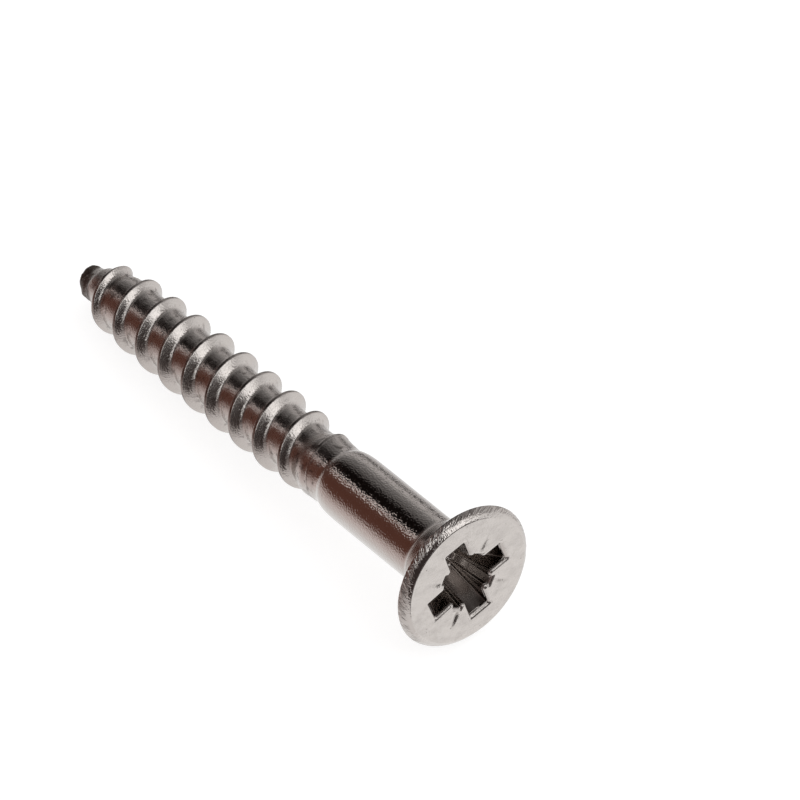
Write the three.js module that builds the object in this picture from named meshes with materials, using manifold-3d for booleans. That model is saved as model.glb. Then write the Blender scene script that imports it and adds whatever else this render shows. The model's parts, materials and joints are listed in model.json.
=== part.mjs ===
// A countersunk wood screw, 4 x 30 mm, with a cross recess and a plain shank.
// It lies on its side with the head towards +X: the edge of the head and a thread crest
// near the point touch the ground, so the axis leans down a little towards the point.
//
// Each place along the screw is its depth below the flat face of the head, in millimetres.
import * as THREE from 'three';
import { mergeVertices } from 'three/addons/utils/BufferGeometryUtils.js';
import Module from 'manifold-3d';

const wasm = await Module();
wasm.setup();

// Overall size: the point of the 30 mm screw is pinched off half a millimetre short
const length = 29.5;

// Head: a flat face, a bevelled edge, a narrow land and a 90 degree seat
const headRadius = 3.7;
const faceRadius = 3.3;
const bevelDepth = 0.35;
const landDepth = 0.4;
const seatFilletRadius = 0.5;

// Shank, and the neck between the shank and the thread
const shankRadius = 1.715;
const neckRadius = 1.535;

// Thread: single start, right hand
const pitch = 1.863;
const coreRadius = 1.37;
const coreStartDepth = 11.4;
const coreEndDepth = 26.8;
const threadRadius = 1.895;
const threadStartDepth = 9.7;
const threadEndDepth = 28.3;
const firstCrestDepth = 11.48;

// Point
const pointRootRadius = 0.95;
const nibDepth = 29.0;
const nibRadius = 0.8;
const nibEndDepth = 29.35;
const nibEndRadius = 0.68;

// Recess: four tapered wings, a tapered bore, and a smaller cross turned by 45 degrees
const recessDepth = 2.3;
const recessTipDepth = 2.75;
const recessRoll = THREE.MathUtils.degToRad(16.2);
const wingSpan = 2.22;
const wingSpanAtDepth = 1.05;
const wingHalfWidth = 0.545;
const wingHalfWidthAtDepth = 0.46;
const boreRadius = 1.33;
const boreRadiusAtDepth = 0.92;
const notchSpan = 1.5;
const notchSpanAtDepth = 1.02;
const notchHalfWidth = 0.23;
const notchHalfWidthAtDepth = 0.2;
const tickInnerRadius = 1.45;
const tickOuterRadius = 2.57;
const tickHalfWidth = 0.09;
const tickDepth = 0.12;
const boreSides = 24;
const cutterOverhang = 0.2;

// Facets round the screw. The ridge is laid out in units of one facet's climb.
const sides = 32;
const climbPerSide = pitch / sides;
const crestHalfUnits = 1;
const rootHalfUnits = 8;

// Each outline lists depths and the radius at each of them.
// The shank rounds over and steps down to the neck.
const shoulderOutline = [
  [8.4, shankRadius],
  [9.0, 1.67],
  [9.28, 1.61],
  [9.42, neckRadius],
];

// The screw without its ridge, from the neck to the point: the neck swells before the core
const bodyOutline = [
  [threadStartDepth, neckRadius],
  [10.6, 1.6],
  [10.95, 1.55],
  [coreStartDepth, coreRadius],
  [coreEndDepth, coreRadius],
  [threadEndDepth, pointRootRadius],
];

// The crest grows out of the neck, runs level and sinks into the point
const crestOutline = [
  [threadStartDepth, neckRadius],
  [10.6, 1.62],
  [11.8, 1.79],
  [13.5, threadRadius],
  [21, threadRadius],
  [25.2, 1.79],
  [27.3, 1.65],
  [threadEndDepth, pointRootRadius],
];

function radiusAlong(outline, depth) {
  const next = Math.max(1, outline.findIndex(([end]) => end >= depth));
  const [startDepth, startRadius] = outline[next - 1];
  const [endDepth, endRadius] = outline[next];
  return THREE.MathUtils.mapLinear(depth, startDepth, endDepth, startRadius, endRadius);
}

// A row of the skin gives the depth and the radius at each of its facet corners.
function plainRow(depth, radius) {
  return () => [depth, radius];
}

// A thread row climbs one unit towards the head at each corner, within the threaded length.
function threadRow(unit, outline) {
  return (corner) => {
    const climbed = firstCrestDepth + (unit - corner) * climbPerSide;
    const depth = THREE.MathUtils.clamp(climbed, threadStartDepth, threadEndDepth);
    return [depth, radiusAlong(outline, depth)];
  };
}

function headRows() {
  const seatEndDepth = landDepth + headRadius - shankRadius;
  const tangentLength = seatFilletRadius * Math.tan(Math.PI / 8);
  const filletDepth = seatEndDepth + tangentLength;
  const fillet = [0, 1, 2, 3].map((step) => {
    const angle = (Math.PI / 4) * (1 - step / 3);
    const depth = filletDepth - seatFilletRadius * Math.sin(angle);
    return plainRow(depth, shankRadius + seatFilletRadius * (1 - Math.cos(angle)));
  });
  return [
    plainRow(0, 0),
    plainRow(0, faceRadius),
    plainRow(bevelDepth, headRadius),
    plainRow(landDepth, headRadius),
    ...fillet,
    ...shoulderOutline.map(([depth, radius]) => plainRow(depth, radius)),
  ];
}

function threadRows() {
  const firstTurn = Math.floor((threadStartDepth - firstCrestDepth) / pitch);
  const lastTurn = Math.ceil((threadEndDepth - firstCrestDepth) / pitch) + 1;
  const rows = [];
  for (let turn = firstTurn; turn <= lastTurn; turn += 1) {
    const unit = turn * sides;
    rows.push(threadRow(unit - rootHalfUnits, bodyOutline));
    rows.push(threadRow(unit - crestHalfUnits, crestOutline));
    rows.push(threadRow(unit + crestHalfUnits, crestOutline));
    rows.push(threadRow(unit + rootHalfUnits, bodyOutline));
  }
  return rows;
}

function pointRows() {
  return [
    plainRow(nibDepth, nibRadius),
    plainRow(nibEndDepth, nibEndRadius),
    plainRow(length, 0),
  ];
}

// The corners straddle the local +X direction, so that a facet is at the bottom.
function skinGeometry(rows) {
  const positions = [];
  const indices = [];
  rows.forEach((row, rowIndex) => {
    for (let corner = 0; corner <= sides; corner += 1) {
      const angle = (((corner % sides) + 0.5) * 2 * Math.PI) / sides;
      const [depth, radius] = row(corner);
      positions.push(radius * Math.cos(angle), radius * Math.sin(angle), -depth);
      if (rowIndex > 0 && corner > 0) {
        const here = rowIndex * (sides + 1) + corner;
        const above = here - (sides + 1);
        indices.push(above - 1, here - 1, here, above - 1, here, above);
      }
    }
  });
  const geometry = new THREE.BufferGeometry();
  geometry.setAttribute('position', new THREE.Float32BufferAttribute(positions, 3));
  geometry.setIndex(indices);
  return geometry;
}

// Triangles that lost an edge when equal corners were merged are left out.
function toManifold(geometry) {
  geometry.deleteAttribute('normal');
  geometry.deleteAttribute('uv');
  const merged = mergeVertices(geometry);
  const corners = merged.index.array;
  const triangles = [];
  for (let first = 0; first < corners.length; first += 3) {
    const [a, b, c] = corners.slice(first, first + 3);
    if (a !== b && b !== c && c !== a) triangles.push(a, b, c);
  }
  return new wasm.Manifold(new wasm.Mesh({
    numProp: 3,
    vertProperties: new Float32Array(merged.attributes.position.array),
    triVerts: new Uint32Array(triangles),
  }));
}

function toGeometry(solid) {
  const mesh = solid.getMesh();
  const geometry = new THREE.BufferGeometry();
  geometry.setAttribute('position', new THREE.BufferAttribute(mesh.vertProperties, 3));
  geometry.setIndex(new THREE.BufferAttribute(mesh.triVerts, 1));
  return geometry;
}

// A tapered bar across the axis. It follows its taper up past the face of the head.
function taperedBar(span, halfWidth, spanAtDepth, halfWidthAtDepth, turn) {
  const bar = new THREE.BoxGeometry(2, 2, recessDepth + cutterOverhang);
  const corners = bar.attributes.position;
  for (let index = 0; index < corners.count; index += 1) {
    const isTop = corners.getZ(index) > 0;
    const depth = isTop ? -cutterOverhang : recessDepth;
    const reach = THREE.MathUtils.mapLinear(depth, 0, recessDepth, span, spanAtDepth);
    const width = THREE.MathUtils.mapLinear(depth, 0, recessDepth, halfWidth, halfWidthAtDepth);
    corners.setXYZ(index, corners.getX(index) * reach, corners.getY(index) * width, -depth);
  }
  return toManifold(bar.rotateZ(turn));
}

function boreSolid() {
  const profile = [
    new THREE.Vector2(0, -recessTipDepth),
    new THREE.Vector2(boreRadiusAtDepth, -recessDepth),
    new THREE.Vector2(boreRadius, cutterOverhang),
    new THREE.Vector2(0, cutterOverhang),
  ];
  return toManifold(new THREE.LatheGeometry(profile, boreSides).rotateX(Math.PI / 2));
}

// A shallow tapering groove on the face, on the line between two wings
function tickSolid(turn) {
  const rise = tickHalfWidth / 2;
  const corners = [
    tickInnerRadius, -tickHalfWidth, rise,
    tickInnerRadius, tickHalfWidth, rise,
    tickInnerRadius, 0, -tickDepth,
    tickOuterRadius, 0, rise,
  ];
  const tick = new THREE.BufferGeometry();
  tick.setAttribute('position', new THREE.Float32BufferAttribute(corners, 3));
  tick.setIndex([0, 1, 2, 0, 3, 1, 1, 3, 2, 2, 3, 0]);
  return toManifold(tick.rotateZ(turn));
}

function recessSolid() {
  const quarterTurn = Math.PI / 2;
  const eighthTurn = Math.PI / 4;
  let recess = boreSolid();
  for (const turn of [recessRoll, recessRoll + quarterTurn]) {
    recess = recess.add(taperedBar(
      wingSpan, wingHalfWidth, wingSpanAtDepth, wingHalfWidthAtDepth, turn));
    recess = recess.add(taperedBar(
      notchSpan, notchHalfWidth, notchSpanAtDepth, notchHalfWidthAtDepth, turn + eighthTurn));
  }
  for (let corner = 0; corner < 4; corner += 1) {
    recess = recess.add(tickSolid(recessRoll + eighthTurn + corner * quarterTurn));
  }
  return recess;
}

// How far the axis leans: the steepest line that the edge of the head and the thread allow
function restingLean(geometry) {
  const corners = geometry.attributes.position;
  const bottomOfLand = headRadius * Math.cos(Math.PI / sides);
  let lean = Math.PI / 2;
  for (let index = 0; index < corners.count; index += 1) {
    const depth = -corners.getZ(index);
    if (depth > coreStartDepth) {
      const rise = bottomOfLand - corners.getX(index);
      lean = Math.min(lean, Math.atan2(rise, depth - landDepth));
    }
  }
  return lean;
}

function woodScrew() {
  const skin = skinGeometry([...headRows(), ...threadRows(), ...pointRows()]);
  const geometry = toGeometry(toManifold(skin).subtract(recessSolid()));
  const nickelPlate = new THREE.MeshStandardMaterial({
    color: 0xc9c2bd,
    roughness: 0.22,
    metalness: 1,
  });
  const mesh = new THREE.Mesh(geometry, nickelPlate);
  mesh.name = 'wood_screw';
  mesh.rotation.y = Math.PI / 2 - restingLean(geometry);
  return mesh;
}

const part = new THREE.Group();
part.add(woodScrew());

// The origin is under the middle of the screw, on the ground that it lies on.
const box = new THREE.Box3().setFromObject(part, true);
const middle = box.getCenter(new THREE.Vector3());
part.position.set(-middle.x, -middle.y, -box.min.z);

export default part;
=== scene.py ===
import json
import math

import bpy
import numpy as np
from mathutils import Matrix, Vector


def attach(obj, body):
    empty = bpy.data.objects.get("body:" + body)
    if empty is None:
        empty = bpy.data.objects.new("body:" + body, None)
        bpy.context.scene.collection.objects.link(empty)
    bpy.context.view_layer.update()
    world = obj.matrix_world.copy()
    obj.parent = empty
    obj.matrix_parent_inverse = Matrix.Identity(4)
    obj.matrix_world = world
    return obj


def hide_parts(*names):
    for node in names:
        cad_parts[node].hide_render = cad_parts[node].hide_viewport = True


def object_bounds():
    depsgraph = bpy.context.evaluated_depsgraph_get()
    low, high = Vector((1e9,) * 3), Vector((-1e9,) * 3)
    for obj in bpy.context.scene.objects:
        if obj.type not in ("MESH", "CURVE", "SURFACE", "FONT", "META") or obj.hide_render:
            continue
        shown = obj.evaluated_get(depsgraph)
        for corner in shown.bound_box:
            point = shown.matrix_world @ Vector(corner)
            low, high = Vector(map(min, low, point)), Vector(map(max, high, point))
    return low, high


# A nickel-plated countersunk wood screw, 4 x 30 mm, lying on a pale floor.
# Its fine skin stands for the CAD node wood_screw. Shape sizes are in millimetres, and each
# place along the screw is its depth below the flat face of the head, as in the CAD.
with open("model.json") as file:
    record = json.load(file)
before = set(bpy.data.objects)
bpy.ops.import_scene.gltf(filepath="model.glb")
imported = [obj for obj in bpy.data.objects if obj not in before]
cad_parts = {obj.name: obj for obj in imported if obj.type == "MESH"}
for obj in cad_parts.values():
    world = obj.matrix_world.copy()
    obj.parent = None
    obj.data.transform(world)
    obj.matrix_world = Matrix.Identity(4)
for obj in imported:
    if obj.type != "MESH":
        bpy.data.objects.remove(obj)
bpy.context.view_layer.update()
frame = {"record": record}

MM = 0.001

# The grid of the skin: its columns run along the screw. Each eighth of the way round, the
# outline of the recess is five straight walls with a rounded corner between each two.
WALL_COLUMNS = (4, 8, 2, 2, 4)
CORNER_COLUMNS = (4, 5, 4, 3)
CORNER_RADII = (0.1, 0.35, 0.12, 0.08)
COLUMNS = 8 * (sum(WALL_COLUMNS) + sum(CORNER_COLUMNS))

# Head
HEAD_RADIUS = 3.7
FACE_RADIUS = 3.3
LAND_DEPTH = 0.4
# The bevel of the head rounds over from the face to the land, as radius and depth
BEVEL = ((3.33, 0.019), (3.39, 0.057), (3.45, 0.097), (3.5, 0.135), (3.55, 0.187), (3.6, 0.248),
         (3.64, 0.305), (3.668, 0.355), (3.688, 0.4), (3.698, 0.44), (3.685, 0.465))
SEAT_FILLET = 0.5
# Rows of the skin, as shares of the way over the face and down the seat
FACE_ROWS = (0, 0.07, 0.16, 0.26, 0.36, 0.46, 0.57, 0.7, 0.85, 0.96, 0.985, 1)
SEAT_ROWS = (0.06, 0.1, 0.18, 0.3, 0.5, 0.7, 0.88, 0.97)
ROUND_STEPS = 6

# Shank, shoulder and neck: depth and radius
SHANK_RADIUS = 1.715
NECK_RADIUS = 1.535
BODY = (
    (2.6, SHANK_RADIUS),
    (8.2, SHANK_RADIUS),
    (8.55, 1.708),
    (8.9, 1.685),
    (9.15, 1.645),
    (9.29, 1.61),
    (9.36, 1.56),
    (9.44, 1.54),
    (9.7, NECK_RADIUS),
)
SHANK_ROW_STEP = 0.22
SHOULDER_ROW_STEP = 0.085

# Thread
PITCH = 1.863
FIRST_CREST = 11.509
THREAD_START = 9.7
THREAD_END = 28.3
CREST_HALF_WIDTH = 0.065
CREST_ROUNDING = 0.03
ROOT_ROUNDING = 0.09
FLANK_SLOPE = math.tan(math.radians(34))
CORE = (
    (THREAD_START, NECK_RADIUS),
    (10.3, 1.568),
    (10.6, 1.6),
    (10.95, 1.55),
    (11.4, 1.372),
    (26.6, 1.365),
    (THREAD_END, 0.95),
)
CREST = (
    (THREAD_START, NECK_RADIUS),
    (10.3, 1.575),
    (10.6, 1.618),
    (11.2, 1.7),
    (11.8, 1.79),
    (13.5, 1.895),
    (21, 1.895),
    (25.2, 1.79),
    (27.3, 1.65),
    (THREAD_END, 0.95),
)
# Where the rows of one turn of the thread lie, to each side of the crest
ROW_OFFSETS = (0.0, 0.055, 0.072, 0.1, 0.2, 0.31, 0.39, 0.48, 0.62, PITCH / 2)

# Point
POINT_END = 29.5
POINT = (
    (THREAD_END, 0.95),
    (28.5, 0.87),
    (28.7, 0.85),
    (28.95, 0.85),
    (29.1, 0.81),
    (29.25, 0.73),
    (29.38, 0.6),
    (29.46, 0.38),
    (POINT_END, 0.0),
)
POINT_ROW_STEP = 0.07
LAST_ROW_RADIUS = 0.12
# The point was pinched off: its end sags, and its crust reaches further up on this side
CRUST_ANGLE = math.radians(-55)
SAG = 0.24

# Recess: each pair is the size at the face of the head and the size at the recess's depth
RECESS_DEPTH = 2.3
RECESS_TIP = 2.75
RECESS_ROLL = math.radians(16.2)
WING_SPAN = (2.22, 1.05)
WING_HALF_WIDTH = (0.545, 0.46)
BORE_RADIUS = (1.33, 0.92)
NOTCH_SPAN = (1.5, 1.02)
NOTCH_HALF_WIDTH = (0.23, 0.2)
MOUTH_ROUNDING = 0.15
# Rows of the skin: depths down the walls, and shares of the way out over the bottom
WALL_ROWS = (2.3, 2.15, 1.95, 1.7, 1.45, 1.2, 0.95, 0.7, 0.5, 0.34, 0.2, 0.12)
BOTTOM_ROWS = (0, 0.2, 0.45, 0.7, 0.88)
# How fully each of the four notches was cut
NOTCH_SHARES = (1.0, 0.15, 0.9, 1.0)
# The punch sat a little askew: how far each wing turns, in degrees
WING_TURNS = (-0.7, -0.6, -1.2, 2.6)
# A wedge-shaped mark runs out from each notch: how far its two ends turn from the diagonal
TICK_TURNS = ((3, 0), (0, -4), (8, 4.5), (6, 3))
TICK_INNER = 1.35
TICK_OUTER = 2.6
TICK_HALF_WIDTH = 0.22
# How deep each mark is, how dark the shade painted along its crease, and between which distances
# that painted shade fades
TICK_DEPTHS = (0.09, 0.065, 0.08, 0.13)
TICK_CREASE_SHADES = (0.4, 0.25, 0.4, 1.0)
CREASE_FADE = (0.09, 0.03)

# Marks left in the metal: their heights, and how far those on the edge of the head slant and
# are drawn out
WAVE_HEIGHT = 0.003
NICK_DEPTH = 0.03
RIPPLE_HEIGHT = 0.008
LUMP_HEIGHT = 0.05
SMALL_LUMP_HEIGHT = 0.03
BREAK_DEPTH = 0.02
SLANT = 0.25
DRAWN_OUT = 0.35

# Fixed pseudo-random numbers come from these factors, each product cut to one 32-bit word
CELL_FACTORS = (374761393, 668265263, 2147483647)
FIRST_FACTOR = 1274126177
SECOND_FACTOR = 2246822519
WORD = 0xFFFFFFFF
# Keeps a rounding width above zero where there is nothing to round
TINY = 1e-9
# Points of the skin that are closer together than this count as one
MERGE_DISTANCE = 2e-6


def smooth_max(a, b, width):
    """The larger of a and b, with the corner between them rounded."""
    share = np.clip(0.5 + 0.5 * (a - b) / width, 0, 1)
    return b + (a - b) * share + width * share * (1 - share)


def smooth_step(low, high, value):
    """Rises smoothly from 0 at low to 1 at high. It falls where low is the larger."""
    share = np.clip((value - low) / (high - low), 0, 1)
    return share * share * (3 - 2 * share)


def along(outline, depth):
    """The radius of an outline at a depth."""
    depths, radii = zip(*outline)
    return np.interp(depth, depths, radii)


def hash_lattice(cell, seed):
    """A fixed pseudo-random number from 0 to 1 for each lattice cell."""
    mixed = sum(cell[..., axis] * factor for axis, factor in enumerate(CELL_FACTORS))
    mixed = (mixed + seed * FIRST_FACTOR) & WORD
    mixed = ((mixed ^ (mixed >> 13)) * FIRST_FACTOR) & WORD
    mixed = ((mixed ^ (mixed >> 15)) * SECOND_FACTOR) & WORD
    return (mixed ^ (mixed >> 16)) / WORD


def value_noise(places, seed):
    """Smooth noise from -1 to 1 at each place, with features about one unit across."""
    base = np.floor(places).astype(np.int64)
    part = places - base
    part = part * part * (3 - 2 * part)
    total = np.zeros(places.shape[:-1])
    for corner in range(8):
        step = np.array([corner & 1, corner >> 1 & 1, corner >> 2 & 1])
        weight = np.prod(np.where(step, part, 1 - part), axis=-1)
        total += weight * hash_lattice(base + step, seed)
    return 2 * total - 1


def rounded_corner(before, corner, after, radius):
    """Where the rounding of a corner starts and ends, given the points before and after it."""
    before, after = before - corner, after - corner
    before_length, after_length = np.linalg.norm(before), np.linalg.norm(after)
    before, after = before / before_length, after / after_length
    half_turn = math.acos(np.clip(-before @ after, -1, 1)) / 2
    tangent = min(radius * math.tan(half_turn), 0.45 * min(before_length, after_length))
    return corner + before * tangent, corner + after * tangent


def rounded_path(corners, radii, line_steps, arc_steps):
    """Points along a bent line whose inner corners are rounded. The last point is left out."""
    corners = [np.array(corner, float) for corner in corners]
    points = []

    def add_line(start, end, steps):
        points.extend(start + (end - start) * step / steps for step in range(steps))

    start = corners[0]
    for index, (radius, steps) in enumerate(zip(radii, arc_steps)):
        before, corner, after = corners[index:index + 3]
        line_end, arc_end = rounded_corner(before, corner, after, radius)
        add_line(start, line_end, line_steps[index])
        for step in range(steps):
            t = step / steps
            points.append((1 - t) ** 2 * line_end + 2 * t * (1 - t) * corner + t * t * arc_end)
        start = arc_end
    add_line(start, corners[-1], line_steps[-1])
    return np.array(points)


def recess_quarter(depth, outward, notch_share):
    """The outline of the recess from the middle of a wing, past a notch, to the next wing."""

    def size(pair):
        return pair[0] + (pair[1] - pair[0]) * depth / RECESS_DEPTH + outward

    span, half_width = size(WING_SPAN), size(WING_HALF_WIDTH)
    bore, notch_half = size(BORE_RADIUS), size(NOTCH_HALF_WIDTH)
    bore_at_notch = math.sqrt(bore**2 - notch_half**2)
    notch = bore + (size(NOTCH_SPAN) - bore) * notch_share
    diagonal = math.sqrt(0.5)
    corners = (
        (span, 0),
        (span, half_width),
        (math.sqrt(bore**2 - half_width**2), half_width),
        ((bore_at_notch + notch_half) * diagonal, (bore_at_notch - notch_half) * diagonal),
        ((notch + notch_half) * diagonal, (notch - notch_half) * diagonal),
        (notch * diagonal, notch * diagonal),
    )
    half = rounded_path(corners, CORNER_RADII, WALL_COLUMNS, CORNER_COLUMNS)
    mirrored = half[:0:-1, ::-1]
    return np.concatenate([half, np.array([corners[-1]]), mirrored])


def recess_ring(depth, outward=0.0):
    """The outline of the recess at a depth, each wall moved outward, one point per column."""
    points = []
    for turn, notch_share in enumerate(NOTCH_SHARES):
        cosine, sine = math.cos(turn * math.pi / 2), math.sin(turn * math.pi / 2)
        quarter = recess_quarter(depth, outward, notch_share)
        points.append(quarter @ np.array([[cosine, sine], [-sine, cosine]]))
    points = np.concatenate(points)
    angles = np.arctan2(points[:, 1], points[:, 0])
    radii = np.hypot(points[:, 0], points[:, 1])
    turns = np.interp(
        np.degrees(angles), (0, 90, 180, 270, 360), WING_TURNS + WING_TURNS[:1], period=360
    )
    angles = angles + RECESS_ROLL + np.radians(turns)
    return np.stack([radii * np.cos(angles), radii * np.sin(angles)], axis=1)


column_angles = RECESS_ROLL + np.arange(COLUMNS + 1) * 2 * math.pi / COLUMNS
column_directions = np.stack([np.cos(column_angles), np.sin(column_angles)], axis=1)


class Skin:
    """Rows of points from the bottom of the recess, over the head, to the point."""

    def __init__(self):
        self.rows = []
        self.kinds = []

    def add(self, flat, depth, kind):
        """flat is the place across the axis of each column, and depth its depth."""
        depth = np.broadcast_to(depth, len(flat))
        if len(flat) == COLUMNS:
            flat = np.concatenate([flat, flat[:1]])
            depth = np.concatenate([depth, depth[:1]])
        self.rows.append(np.column_stack([flat, -depth]))
        self.kinds.append(kind)

    def add_round(self, radius, depth, kind):
        radius = np.broadcast_to(radius, (COLUMNS + 1,))[:, None]
        self.add(column_directions * radius, depth, kind)


def add_recess(skin):
    """The sloping bottom of the recess, its walls and its rounded mouth."""
    bottom = recess_ring(RECESS_DEPTH)
    for share in BOTTOM_ROWS:
        skin.add(bottom * share, RECESS_TIP + (RECESS_DEPTH - RECESS_TIP) * share, "recess")
    for depth in WALL_ROWS:
        skin.add(recess_ring(depth), depth, "recess")
    for step in range(ROUND_STEPS + 1):
        turn = math.radians(90 * step / ROUND_STEPS)
        depth = MOUTH_ROUNDING * (1 - math.sin(turn))
        outward = MOUTH_ROUNDING * (1 - math.cos(turn))
        skin.add(recess_ring(depth, outward), depth, "mouth")


def tick_marks(flat):
    """The depth of the tapering grooves on the face, and how much shade is painted along each
    groove's crease.
    """
    groove = np.zeros(len(flat))
    crease = np.zeros(len(flat))
    for quarter, turns in enumerate(TICK_TURNS):
        diagonal = RECESS_ROLL + math.pi / 4 + quarter * math.pi / 2
        start_angle, end_angle = (diagonal + math.radians(turn) for turn in turns)
        start = TICK_INNER * np.array([math.cos(start_angle), math.sin(start_angle)])
        end = TICK_OUTER * np.array([math.cos(end_angle), math.sin(end_angle)])
        length = np.linalg.norm(end - start)
        run = (end - start) / length
        reach = (flat - start) @ run / length
        aside = np.abs((flat - start) @ np.array([-run[1], run[0]]))
        taper = np.clip(1 - reach, 0, 1) * (reach > -0.1)
        side = np.clip(1 - aside / (TICK_HALF_WIDTH * (0.2 + 0.8 * taper)), 0, 1)
        groove = np.maximum(groove, TICK_DEPTHS[quarter] * taper * side)
        # Painted shade along the middle of the groove, fading out to its sides
        dark = TICK_CREASE_SHADES[quarter] * taper * smooth_step(*CREASE_FADE, aside)
        crease = np.maximum(crease, dark)
    return groove, crease


def add_face(skin):
    """The flat ring round the recess, with a tapering groove out from each notch."""
    mouth = recess_ring(0, MOUTH_ROUNDING + 0.03)
    rim = column_directions[:-1] * FACE_RADIUS
    for share in FACE_ROWS:
        flat = mouth + (rim - mouth) * share
        groove, _ = tick_marks(flat)
        skin.add(flat, groove * smooth_step(0, 0.12, share), "face")


def add_head(skin):
    """The rounded, nicked edge of the head, its land, the seat and the fillet below it."""
    for radius, depth in BEVEL:
        skin.add_round(radius, depth, "rim")
    seat_end = LAND_DEPTH + HEAD_RADIUS - SHANK_RADIUS
    tangent = SEAT_FILLET * math.tan(math.pi / 8)
    fillet_top = seat_end - tangent * math.sqrt(0.5)
    for share in SEAT_ROWS:
        depth = LAND_DEPTH + (fillet_top - LAND_DEPTH) * share
        skin.add_round(HEAD_RADIUS + LAND_DEPTH - depth, depth, "seat")
    for step in range(ROUND_STEPS + 1):
        turn = math.pi / 4 * (1 - step / ROUND_STEPS)
        depth = seat_end + tangent - SEAT_FILLET * math.sin(turn)
        radius = SHANK_RADIUS + SEAT_FILLET * (1 - math.cos(turn))
        skin.add_round(radius, depth, "seat")


def smooth_along(outline, depth):
    """The radius of an outline at a depth, its corners rounded over about 0.1 mm."""
    near = [along(outline, depth + step * 0.045) for step in (-2, -1, 0, 1, 2)]
    weights = (0.12, 0.23, 0.3, 0.23, 0.12)
    return sum(weight * radius for weight, radius in zip(weights, near))


def add_shank(skin):
    """The plain shank, its rounded shoulder and the start of the neck."""
    for depth in np.arange(2.75, 8.2, SHANK_ROW_STEP):
        skin.add_round(SHANK_RADIUS, depth, "shank")
    for depth in np.arange(8.25, THREAD_START - 0.02, SHOULDER_ROW_STEP):
        skin.add_round(smooth_along(BODY, depth), depth, "shank")


def thread_radius(offset, depth):
    """The radius at an offset from the crest: core, rounded root, straight flank, crest."""
    core = along(CORE, depth)
    height = np.maximum(along(CREST, depth) - core, 0)
    flank = height - np.maximum(abs(offset) - CREST_HALF_WIDTH, 0) / FLANK_SLOPE
    root_rounding = ROOT_ROUNDING * np.clip(height / 0.4, 0, 1) + TINY
    crest_rounding = CREST_ROUNDING * np.clip(height / 0.2, 0, 1) + TINY
    ridge = smooth_max(flank, 0 * flank, root_rounding)
    ridge = -smooth_max(-ridge, -height, crest_rounding)
    return core + np.maximum(ridge, 0)


def add_thread(skin):
    """Turn by turn, rows that climb towards the head as they go round."""
    first_turn = math.floor((THREAD_START - FIRST_CREST) / PITCH)
    last_turn = math.ceil((THREAD_END - FIRST_CREST) / PITCH) + 2
    climb = column_angles / (2 * math.pi) * PITCH
    offsets = [-offset for offset in reversed(ROW_OFFSETS[1:])] + list(ROW_OFFSETS[:-1])
    for turn in range(first_turn, last_turn):
        for offset in offsets:
            depth = FIRST_CREST + turn * PITCH + offset - climb
            depth = np.clip(depth, THREAD_START, THREAD_END)
            kind = "crest" if abs(offset) < CREST_HALF_WIDTH else "thread"
            skin.add_round(thread_radius(offset, depth), depth, kind)


def add_point(skin):
    """The blunt end below the thread, closed on the axis."""
    for depth in np.arange(THREAD_END + 0.08, POINT_END - 0.05, POINT_ROW_STEP):
        skin.add_round(smooth_along(POINT, depth), depth, "point")
    skin.add_round(LAST_ROW_RADIUS, POINT_END - 0.01, "point")
    skin.add_round(0, POINT_END, "point")


def merged(skin):
    """The skin's different points, and its faces with repeated corners left out."""
    grid = np.concatenate(skin.rows)
    keys = np.round(grid / MERGE_DISTANCE).astype(np.int64)
    _, first, index = np.unique(keys, axis=0, return_index=True, return_inverse=True)
    index = index.reshape(len(skin.rows), COLUMNS + 1)
    faces = []
    for row in range(len(skin.rows) - 1):
        quads = np.stack(
            [index[row, :-1], index[row + 1, :-1], index[row + 1, 1:], index[row, 1:]], axis=1
        )
        for quad in quads.tolist():
            face = [v for place, v in enumerate(quad) if v != quad[place - 1]]
            if len(set(face)) == len(face) and len(face) > 2:
                faces.append(face)
    kinds = np.repeat(np.array(skin.kinds), COLUMNS + 1)[first]
    return grid[first], faces, kinds


def slanted(points, profile):
    """Places drawn out at a slant across the edge of the head, as the cutter's marks lie."""
    angle = np.arctan2(points[:, 1], points[:, 0]) + SLANT * profile
    return np.column_stack([
        HEAD_RADIUS * np.cos(angle), HEAD_RADIUS * np.sin(angle), DRAWN_OUT * profile
    ])


def rim_marks(slant_place):
    """Nicks cut into the edge of the head, and the ripple between them."""
    nicks = smooth_step(0.2, 0.9, value_noise(slant_place * 5, seed=11))
    return -NICK_DEPTH * nicks + RIPPLE_HEIGHT * value_noise(slant_place * 9, seed=12)


def tip_lumps(points):
    """The uneven break of the pinched-off point."""
    coarse = value_noise(points * 2.1, seed=21)
    fine = value_noise(points * 6, seed=22)
    return coarse * LUMP_HEIGHT + fine * SMALL_LUMP_HEIGHT - BREAK_DEPTH


def roughened(points, normals, kinds):
    """Moves the points a little, for the marks that the tools left in the metal."""
    depth = -points[:, 2]
    profile = np.hypot(points[:, 0], points[:, 1]) - FACE_RADIUS + depth
    slant_place = slanted(points, profile)
    # The inner third of the bevel stays smooth
    rim = (kinds == "rim") * smooth_step(0.26, 0.42, profile)
    land = smooth_step(0.46, 0.42, depth)
    tip = smooth_step(THREAD_END + 0.1, 29.2, depth)
    waves = value_noise(points * 0.9, seed=5) + 0.4 * value_noise(points * 2.3, seed=6)
    is_thread = np.isin(kinds, ("thread", "crest"))
    calm = np.select([is_thread, np.isin(kinds, ("recess", "mouth"))], [0.15, 0.4], 1.0)
    move = WAVE_HEIGHT * calm * waves
    move = move + rim * land * rim_marks(slant_place) + tip * tip_lumps(points)
    moved = points + normals * move[:, None]
    moved[:, 0] += SAG * smooth_step(THREAD_END, 28.7, depth) * smooth_step(29.45, 29.1, depth)
    return moved, slant_place, rim


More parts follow.
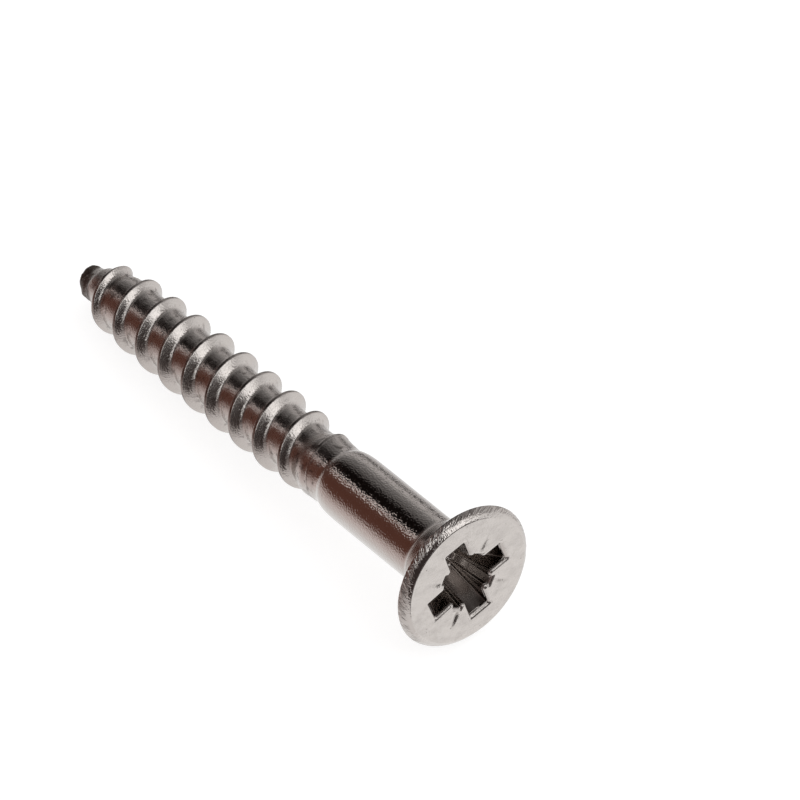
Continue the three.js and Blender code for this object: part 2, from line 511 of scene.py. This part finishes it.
def skin_masks(points, kinds, rim):
    """How strongly each point of the skin belongs to each region that the plating marks out."""
    depth = -points[:, 2]
    height = np.hypot(points[:, 0], points[:, 1]) - along(CORE, depth)
    crust_side = points[:, 0] * math.cos(CRUST_ANGLE) + points[:, 1] * math.sin(CRUST_ANGLE)
    inside = np.isin(kinds, ("recess", "mouth"))
    is_thread = np.isin(kinds, ("thread", "crest"))
    # Painted shade over the first, partial turn of the thread, next to the neck
    start_turn_shade = 0.5 * (depth > THREAD_START) * (depth < 11.5)
    return {
        "inside": inside * smooth_step(0.05, 0.3, depth),
        # Painted shade on the recess walls just below the mouth
        "lip": inside * smooth_step(1.2, 0.25, depth) * smooth_step(0.05, 0.2, depth),
        "face": (kinds == "face") | (kinds == "mouth"),
        "rim": rim,
        # Painted shade along the creases of the tick marks
        "crease": tick_marks(points[:, :2])[1] * (kinds == "face"),
        "tip": smooth_step(THREAD_END - 0.4, 29.0, depth),
        "crust": smooth_step(28.5, 28.8, depth + 0.7 * crust_side),
        "seat": (kinds == "seat") * smooth_step(0.45, 1.2, depth),
        "root": is_thread * smooth_step(0.3, 0.02, height),
        "ridge": is_thread * smooth_step(0.1, 0.4, height),
        # Painted shade along the crests of the thread, at half strength all over the first turn
        "crest": (kinds == "crest") * np.maximum(smooth_step(0.05, 0.25, height), start_turn_shade),
    }


def screw_placement():
    """Where the screw's own axes lie: the head's mount gives its axis and its face."""
    mount = frame["record"]["mounts"][0]
    axis = Vector(mount["axis"]).normalized()
    across = Vector((0, 1, 0))
    down = across.cross(axis)
    place = Vector(mount["pos_m"])
    face_centre = Vector((place.x, 0, place.z))
    turn = Matrix((down, across, axis)).transposed().to_4x4()
    return Matrix.Translation(face_centre) @ turn


def mesh_from(points, faces, name):
    mesh = bpy.data.meshes.new(name)
    mesh.from_pydata(points.tolist(), [], faces)
    mesh.validate()
    mesh.shade_smooth()
    mesh.update()
    return mesh


def vertex_normals(mesh):
    normals = np.zeros(len(mesh.vertices) * 3, np.float32)
    mesh.vertex_normals.foreach_get("vector", normals)
    return normals.reshape(-1, 3).astype(float)


def set_attribute(mesh, name, kind, field, values):
    attribute = mesh.attributes.new(name, kind, "POINT")
    attribute.data.foreach_set(field, np.asarray(values, np.float32).ravel())


def build_screw():
    """The fine skin, with its masks and places kept on it for the material."""
    skin = Skin()
    add_recess(skin)
    add_face(skin)
    add_head(skin)
    add_shank(skin)
    add_thread(skin)
    add_point(skin)
    points, faces, kinds = merged(skin)
    draft = mesh_from(points, faces, "draft")
    moved, slant_place, rim = roughened(points, vertex_normals(draft), kinds)
    bpy.data.meshes.remove(draft)
    mesh = mesh_from(moved * MM, faces, "wood_screw_skin")
    for name, values in skin_masks(points, kinds, rim).items():
        set_attribute(mesh, name, "FLOAT", "value", values)
    set_attribute(mesh, "place", "FLOAT_VECTOR", "vector", points)
    set_attribute(mesh, "slant_place", "FLOAT_VECTOR", "vector", slant_place)
    screw = bpy.data.objects.new("wood_screw_skin", mesh)
    bpy.context.scene.collection.objects.link(screw)
    screw.data.transform(screw_placement())
    return screw


class Nodes:
    """Short calls for building a node tree."""

    def __init__(self, tree):
        self.tree = tree
        tree.nodes.clear()

    def new(self, kind, inputs=None, **settings):
        node = self.tree.nodes.new(kind)
        for name, value in settings.items():
            setattr(node, name, value)
        for name, value in (inputs or {}).items():
            self.feed(node.inputs[name], value)
        return node

    def feed(self, socket, value):
        if isinstance(value, bpy.types.NodeSocket):
            self.tree.links.new(value, socket)
        else:
            socket.default_value = value

    def math(self, operation, a, b=0.0, c=0.0):
        node = self.new("ShaderNodeMath", operation=operation)
        for socket, value in zip(node.inputs, (a, b, c)):
            self.feed(socket, value)
        return node.outputs[0]

    def attribute(self, name):
        return self.new("ShaderNodeAttribute", attribute_name=name)

    def noise(self, vector, scale, detail=2.0, roughness=0.5):
        inputs = {"Vector": vector, "Scale": scale, "Detail": detail, "Roughness": roughness}
        return self.new("ShaderNodeTexNoise", inputs).outputs["Fac"]

    def stretched(self, vector, scale):
        node = self.new("ShaderNodeVectorMath", operation="MULTIPLY")
        self.feed(node.inputs[0], vector)
        self.feed(node.inputs[1], scale)
        return node.outputs[0]

    def remap(self, value, low, high, to_low=0.0, to_high=1.0):
        inputs = {
            "Value": value, "From Min": low, "From Max": high,
            "To Min": to_low, "To Max": to_high,
        }
        return self.new("ShaderNodeMapRange", inputs).outputs[0]

    def mix(self, factor, a, b):
        node = self.new("ShaderNodeMix", data_type="RGBA")
        self.feed(node.inputs[0], factor)
        self.feed(node.inputs[6], a)
        self.feed(node.inputs[7], b)
        return node.outputs[2]


# Colours of the bright plate and of what marks it, and of the painted shade
BRIGHT_PLATE = (0.60, 0.562, 0.535, 1)
CLOUDED_PLATE = (0.55, 0.512, 0.485, 1)
# Painted shade over the inside of the recess
RECESS_SHADE = (0.3, 0.275, 0.255, 1)
WORN_PLATE = (0.22, 0.20, 0.19, 1)
ROOT_STAIN = (0.12, 0.10, 0.09, 1)
# Painted shade for the recess near its mouth, the creases of the tick marks and the crests
PAINTED_SHADE = (0.09, 0.07, 0.06, 1)
RIM_STREAK = (0.1, 0.08, 0.07, 1)
SPECK = (0.1, 0.09, 0.08, 1)
CRUST = (0.1, 0.075, 0.062, 1)
PIT = (0.03, 0.025, 0.02, 1)
# How much rougher than the plain shank each region is
ADDED_ROUGHNESS = (
    ("ridge", 0.2),
    ("root", 0.2),
    ("seat", 0.15),
    ("tip", 0.08),
    ("crust", 0.3),
    ("face", 0.15),
    ("inside", 0.14),
)
# The plating's grain: dimples in a millimetre, their height in millimetres, and how much
# lower they are in some regions
GRAIN_SCALE = 12.0
GRAIN_HEIGHT = 0.01
LOWER_GRAIN = (
    ("inside", 0.0098),
    ("face", 0.007),
    ("seat", 0.006),
    ("ridge", 0.005),
    ("root", 0.003),
)


class Plating:
    """The skin's masks and places as the material reads them, and the patterns it shares."""

    def __init__(self, n):
        self.n = n
        self.place = n.attribute("place").outputs["Vector"]
        self.slant_place = n.attribute("slant_place").outputs["Vector"]
        self.cut_pattern = n.noise(self.slant_place, 5.0, detail=2.0)
        pits = n.new("ShaderNodeTexVoronoi", {"Vector": self.place, "Scale": 1.9})
        self.pit = n.remap(pits.outputs["Distance"], 0.035, 0.055, 1.0, 0.0)
        self.masks = {}

    def mask(self, name):
        if name not in self.masks:
            self.masks[name] = self.n.attribute(name).outputs["Fac"]
        return self.masks[name]

    def noise(self, scale, detail=2.0, roughness=0.5):
        return self.n.noise(self.place, scale, detail, roughness)

    def stretched_noise(self, stretch, scale, detail=2.0, roughness=0.5):
        return self.n.noise(self.n.stretched(self.place, stretch), scale, detail, roughness)

    def masked(self, name, pattern):
        return self.n.math("MULTIPLY", self.mask(name), pattern)


def plate_colour(plating):
    """Bright plate with faint clouds, wear, crust, pits, rim streaks and painted shade on it."""
    n = plating.n
    # Patches of painted shade on the recess walls near the mouth
    lip_shade = n.remap(plating.stretched_noise((1.0, 1.0, 0.5), 1.5), 0.4, 0.6, 0.95, 0.5)
    wear = plating.stretched_noise((1.6, 1.0, 1.0), 0.9, detail=7.0, roughness=0.7)
    stains = plating.masked("root", n.remap(plating.noise(3.1, 5.0), 0.55, 0.7))
    # Patches of painted shade along the crests
    crest_shade = n.remap(plating.noise(2.5, 3.0), 0.35, 0.6, 0.7, 0.3)
    # Darker streaks along the cutter's marks on the edge of the head
    rim_streaks = plating.masked("rim", n.remap(plating.cut_pattern, 0.52, 0.58))
    specks = plating.masked("face", n.remap(plating.noise(12.0, 2.0), 0.7, 0.76))
    crust = plating.masked("crust", n.remap(plating.noise(9.0, 4.0), 0.72, 0.58))
    layers = (
        (stains, 0.7, ROOT_STAIN),
        # Painted shade: the inside of the recess is darkened a little
        (plating.mask("inside"), 0.1, RECESS_SHADE),
        # Painted shade near the mouth of the recess
        (plating.masked("lip", lip_shade), 1.0, PAINTED_SHADE),
        # Painted shade along the creases of the tick marks
        (plating.mask("crease"), 0.85, PAINTED_SHADE),
        # Painted shade along the crests
        (plating.masked("crest", crest_shade), 1.0, PAINTED_SHADE),
        (rim_streaks, 0.35, RIM_STREAK),
        (plating.masked("face", n.remap(wear, 0.45, 0.65)), 0.24, WORN_PLATE),
        (specks, 0.5, SPECK),
        (crust, 0.93, CRUST),
        (plating.pit, 0.85, PIT),
    )
    colour = n.mix(plating.noise(1.7, detail=4.0), BRIGHT_PLATE, CLOUDED_PLATE)
    for pattern, strength, layer_colour in layers:
        colour = n.mix(n.math("MULTIPLY", pattern, strength), colour, layer_colour)
    return colour


def plate_roughness(plating):
    """A satin bloom that changes over the surface, rougher where the tools worked the metal."""
    n = plating.n
    rough = n.remap(plating.noise(5.0, detail=3.0), 0.3, 0.7, 0.04, 0.07)
    for region, added in ADDED_ROUGHNESS:
        rough = n.math("MULTIPLY_ADD", plating.mask(region), added, rough)
    return rough


def plate_relief(plating):
    """Plating grain, waves, scratches and the tools' marks, in millimetres."""
    n = plating.n
    dimples = n.new("ShaderNodeTexVoronoi", {"Vector": plating.place, "Scale": GRAIN_SCALE})
    dimples = n.math("MULTIPLY", dimples.outputs["Distance"], 0.6)
    grain = n.math("ADD", plating.noise(GRAIN_SCALE, detail=0.0), dimples)
    grain_height = GRAIN_HEIGHT
    for region, lower in LOWER_GRAIN:
        grain_height = n.math("MULTIPLY_ADD", plating.mask(region), -lower, grain_height)
    relief = n.math("MULTIPLY", grain, grain_height)
    relief = n.math("MULTIPLY_ADD", plating.noise(2.2, detail=1.0), 0.004, relief)
    nicks = n.noise(plating.slant_place, 10.0, detail=2.0, roughness=0.6)
    coarse = plating.noise(6.0, detail=4.0, roughness=0.7)
    marks = (
        ("face", plating.stretched_noise((3.0, 26.0, 26.0), 1.0, detail=3.0), 0.003),
        ("ridge", plating.stretched_noise((2.0, 2.0, 30.0), 1.0, detail=2.0), 0.004),
        ("inside", plating.stretched_noise((1.0, 1.0, 0.08), 5.0, detail=1.0), 0.006),
        ("rim", n.remap(plating.cut_pattern, 0.46, 0.6), 0.014),
        ("rim", nicks, 0.01),
        ("tip", coarse, 0.03),
        ("crust", coarse, 0.04),
    )
    for region, pattern, height in marks:
        relief = n.math("MULTIPLY_ADD", plating.masked(region, pattern), height, relief)
    return n.math("MULTIPLY_ADD", plating.pit, -0.01, relief)


def plated_steel():
    """Bright nickel over steel: grained, scratched, stained in the thread, rough at the tip."""
    material = bpy.data.materials.new("plated_steel")
    material.use_nodes = True
    n = Nodes(material.node_tree)
    plating = Plating(n)
    bump = n.new("ShaderNodeBump", {
        "Height": plate_relief(plating), "Distance": MM, "Strength": 1.0
    })
    shader = n.new("ShaderNodeBsdfPrincipled", {
        "Base Color": plate_colour(plating),
        "Metallic": 1.0,
        "Roughness": plate_roughness(plating),
        "Normal": bump.outputs[0],
    })
    n.new("ShaderNodeOutputMaterial", {"Surface": shader.outputs[0]})
    return material


WHITE = (1, 1, 1, 1)
DARK_PAPER = (0.38, 0.38, 0.38, 1)
LIGHT_PAPER = (0.42, 0.42, 0.42, 1)
FIBRE_SCALE = 900.0
FLOOR_GLOW = 0.82
BACKDROP_GLOW = 0.98


def pale_paper():
    """The floor: faintly fibrous paper, lit from below as well, so that its shadow is weak."""
    material = bpy.data.materials.new("pale_paper")
    material.use_nodes = True
    n = Nodes(material.node_tree)
    place = n.new("ShaderNodeTexCoord").outputs["Object"]
    fibre = n.noise(place, FIBRE_SCALE, detail=3.0)
    tone = n.mix(fibre, DARK_PAPER, LIGHT_PAPER)
    paper = n.new("ShaderNodeBsdfDiffuse", {"Color": tone}).outputs[0]
    lit_from_below = n.new("ShaderNodeEmission", {"Color": WHITE, "Strength": FLOOR_GLOW})
    both = n.new("ShaderNodeAddShader")
    n.feed(both.inputs[0], paper)
    n.feed(both.inputs[1], lit_from_below.outputs[0])
    n.new("ShaderNodeOutputMaterial", {"Surface": both.outputs[0]})
    return material


def glowing(name, strength):
    """A plain white glow."""
    material = bpy.data.materials.new(name)
    material.use_nodes = True
    n = Nodes(material.node_tree)
    glow = n.new("ShaderNodeEmission", {"Color": WHITE, "Strength": strength})
    n.new("ShaderNodeOutputMaterial", {"Surface": glow.outputs[0]})
    return material


# What stands round the screw in the studio, as the metal reflects it. Each row is an angle
# in degrees round the X axis, from the +Y side over the top, a brightness and how red it is.
ROOM_AT_POINT = (
    (-60, 0.7, 0.0),
    (0, 0.37, 0.05),
    (30, 0.34, 0.03),
    (60, 0.18, 0.05),
    (90, 0.08, 0.3),
    (120, 0.11, 0.4),
    (175, 0.11, 0.5),
    (195, 0.18, 0.35),
    (215, 0.5, 0.15),
    (260, 0.7, 0.05),
)
ROOM_AT_THREAD = (
    (-60, 0.97, 0.0),
    (-22, 0.66, 0.02),
    (-9, 0.62, 0.04),
    (-4, 0.02, 0.08),
    (4, 0.02, 0.08),
    (9, 0.64, 0.04),
    (24, 0.56, 0.03),
    (36, 0.3, 0.03),
    (50, 0.19, 0.03),
    (74, 0.085, 0.08),
    (80, 0.006, 0.3),
    (117, 0.006, 0.3),
    (121, 0.85, 0.1),
    (125, 0.85, 0.1),
    (132, 0.15, 0.45),
    (150, 0.115, 0.6),
    (184, 0.13, 0.56),
    (200, 0.5, 0.2),
    (215, 0.74, 0.12),
    (255, 0.95, 0.0),
)
ROOM_OVER_SCREW = (
    (-60, 1.0, 0.0),
    (-15, 0.9, 0.02),
    (0, 0.72, 0.02),
    (30, 0.42, 0.02),
    (60, 0.26, 0.03),
    (90, 0.16, 0.05),
    (105, 0.27, 0.12),
    (120, 0.32, 0.14),
    (138, 0.14, 0.38),
    (165, 0.1, 0.5),
    (180, 0.15, 0.4),
    (200, 0.4, 0.15),
    (222, 0.7, 0.05),
    (250, 0.95, 0.0),
)
ROOM_AT_HEAD = (
    (-60, 1.15, 0.0),
    (-30, 1.1, 0.0),
    (0, 0.95, 0.0),
    (18, 0.6, 0.02),
    (32, 0.3, 0.05),
    (62, 0.2, 0.08),
    (82, 0.06, 0.08),
    (112, 0.04, 0.15),
    (135, 0.05, 0.38),
    (157, 0.07, 0.35),
    (180, 0.2, 0.15),
    (210, 0.6, 0.06),
    (240, 0.9, 0.02),
)
ROOM_AT_RIM = (
    (-60, 1.15, 0.0),
    (-30, 1.1, 0.0),
    (20, 0.95, 0.0),
    (46, 1.7, 0.0),
    (58, 1.7, 0.0),
    (100, 1.3, 0.0),
    (150, 1.3, 0.0),
    (160, 0.07, 0.35),
    (180, 0.2, 0.15),
    (210, 0.6, 0.06),
    (240, 0.9, 0.02),
)
BEYOND_HEAD = (
    (-60, 0.1, 0.1),
    (10, 0.1, 0.1),
    (32, 0.9, 0.0),
    (45, 1.5, 0.0),
    (60, 1.5, 0.0),
    (80, 0.1, 0.1),
    (90, 0.06, 0.15),
    (165, 0.045, 0.2),
    (222, 0.05, 0.3),
    (235, 0.2, 0.1),
)
# Where along the X direction each of these gives way to the next
HAND_OVERS = ((-0.95, -0.78), (-0.45, -0.05), (0.1, 0.35), (0.58, 0.64), (0.76, 0.8))
RAMP_START = -90
# A ramp's colours stop at 1, so they are divided by this, and the world's strength restores it
BRIGHTEST = 2.0


def angle_ramp(n, share, stops):
    """The colour of one part of the studio, by the share of the way round from straight down."""
    ramp = n.new("ShaderNodeValToRGB", {"Fac": share})
    elements = ramp.color_ramp.elements
    for index, (degrees, brightness, redness) in enumerate(stops):
        position = (degrees - RAMP_START) / 360
        element = elements[index] if index < 2 else elements.new(position)
        element.position = position
        red = brightness / BRIGHTEST
        element.color = (red, red * (1 - redness), red * (1 - 1.2 * redness), 1)
    return ramp.outputs["Color"]


def build_world():
    """The studio that lights the screw: ramps round the X axis, one after another along it."""
    world = bpy.data.worlds.new("studio")
    bpy.context.scene.world = world
    world.use_nodes = True
    n = Nodes(world.node_tree)
    direction = n.new("ShaderNodeTexCoord").outputs["Generated"]
    x, y, z = n.new("ShaderNodeSeparateXYZ", {"Vector": direction}).outputs
    # Measured from straight down, so that the ends of the ramps meet under the floor
    from_below = n.math("ARCTAN2", y, n.math("MULTIPLY", z, -1.0))
    share = n.math("FRACT", n.math("MULTIPLY_ADD", from_below, 1 / (2 * math.pi), 1.0))
    colour = angle_ramp(n, share, ROOM_AT_POINT)
    rooms = (ROOM_AT_THREAD, ROOM_OVER_SCREW, ROOM_AT_HEAD, ROOM_AT_RIM, BEYOND_HEAD)
    for (start, end), stops in zip(HAND_OVERS, rooms):
        colour = n.mix(n.remap(x, start, end), colour, angle_ramp(n, share, stops))
    glow = n.new("ShaderNodeBackground", {"Color": colour, "Strength": BRIGHTEST})
    n.new("ShaderNodeOutputWorld", {"Surface": glow.outputs[0]})


FLOOR_HALF_WIDTH = 1.3
BACKDROP_RADIUS = 1.2
SOFTBOX_SIZE = 2.5
SOFTBOX_POWER = 9.0
SOFTBOX_PLACE = Vector((-0.15, 0.1, 0.9))


def build_floor():
    """A pale floor at the screw's lowest point. The metal reflects the studio instead of it."""
    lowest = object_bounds()[0][2]
    half = FLOOR_HALF_WIDTH
    corners = [(-half, -half, 0), (half, -half, 0), (half, half, 0), (-half, half, 0)]
    floor_mesh = bpy.data.meshes.new("floor")
    floor_mesh.from_pydata(corners, [], [(0, 1, 2, 3)])
    floor_mesh.materials.append(pale_paper())
    floor = bpy.data.objects.new("floor", floor_mesh)
    floor.location.z = lowest
    floor.visible_glossy = False
    bpy.context.scene.collection.objects.link(floor)


def build_backdrop():
    """A plain pale sphere round the stage, which only the camera sees."""
    bpy.ops.mesh.primitive_uv_sphere_add(segments=48, ring_count=24, radius=BACKDROP_RADIUS)
    backdrop = bpy.context.active_object
    backdrop.name = "backdrop"
    backdrop.data.materials.append(glowing("backdrop_glow", BACKDROP_GLOW))
    backdrop.visible_diffuse = False
    backdrop.visible_glossy = False
    backdrop.visible_shadow = False
    backdrop.visible_transmission = False


def build_softbox():
    """A wide soft light overhead, which gives the floor its faint shadow."""
    light = bpy.data.lights.new("softbox", "AREA")
    light.shape = "DISK"
    light.size = SOFTBOX_SIZE
    light.energy = SOFTBOX_POWER
    softbox = bpy.data.objects.new("softbox", light)
    softbox.location = SOFTBOX_PLACE
    softbox.rotation_euler = (-SOFTBOX_PLACE).to_track_quat("-Z", "Y").to_euler()
    softbox.visible_glossy = False
    bpy.context.scene.collection.objects.link(softbox)


def build_camera():
    """The viewpoint: above, ahead of the head and on the -Y side, through a long lens."""
    azimuth = math.radians(52.156)
    elevation = math.radians(43.293)
    distance = 0.3588
    aim = Vector((0.000095, 0.007341, 0))
    camera = bpy.data.cameras.new("camera")
    camera.sensor_width = 36
    camera.lens = 340.2
    camera.clip_start = 0.01
    camera.clip_end = 10
    viewer = bpy.data.objects.new("camera", camera)
    out = Vector((
        math.cos(elevation) * math.sin(azimuth),
        -math.cos(elevation) * math.cos(azimuth),
        math.sin(elevation),
    ))
    viewer.location = aim + distance * out
    viewer.rotation_euler = (-out).to_track_quat("-Z", "Y").to_euler()
    bpy.context.scene.collection.objects.link(viewer)
    bpy.context.scene.camera = viewer


build_camera()
screw = build_screw()
screw.data.materials.append(plated_steel())
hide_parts("wood_screw")
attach(screw, "root")
build_world()
build_floor()
build_backdrop()
build_softbox()
bpy.context.scene.view_settings.view_transform = "Standard"
